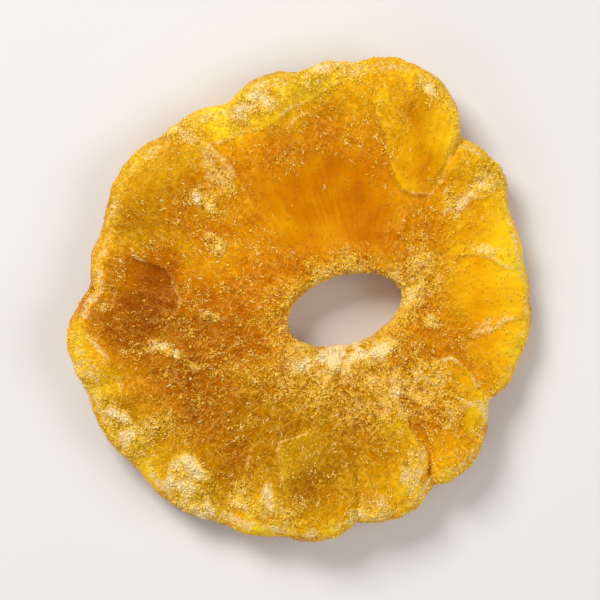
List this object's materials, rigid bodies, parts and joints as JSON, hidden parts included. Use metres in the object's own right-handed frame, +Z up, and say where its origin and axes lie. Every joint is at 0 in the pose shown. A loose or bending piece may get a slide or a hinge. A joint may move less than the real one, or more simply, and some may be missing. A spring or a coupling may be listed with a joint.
{
  "type": "dried pineapple ring",
  "caption": "Ring of sugared, half translucent dried pineapple: a lobed, seamed slice with an off-centre core hole, lying flat.",
  "frame": {"origin": "middle of the outline's box, on the plane that the slice rests on", "axes": "+Z up out of the upper face, +Y along the slice's longest extent, towards the side of its furthest-reaching lobe; the core hole is off-centre towards +X"},
  "size_m": [0.0684, 0.0714, 0.01],
  "materials": {
    "candied_flesh": "candied pineapple flesh, half translucent amber yellow, brighter at the rim, with a rough crust of sugar grains"
  },
  "bodies": {
    "root": {"pineapple_ring": "candied_flesh"}
  },
  "joints": []
}
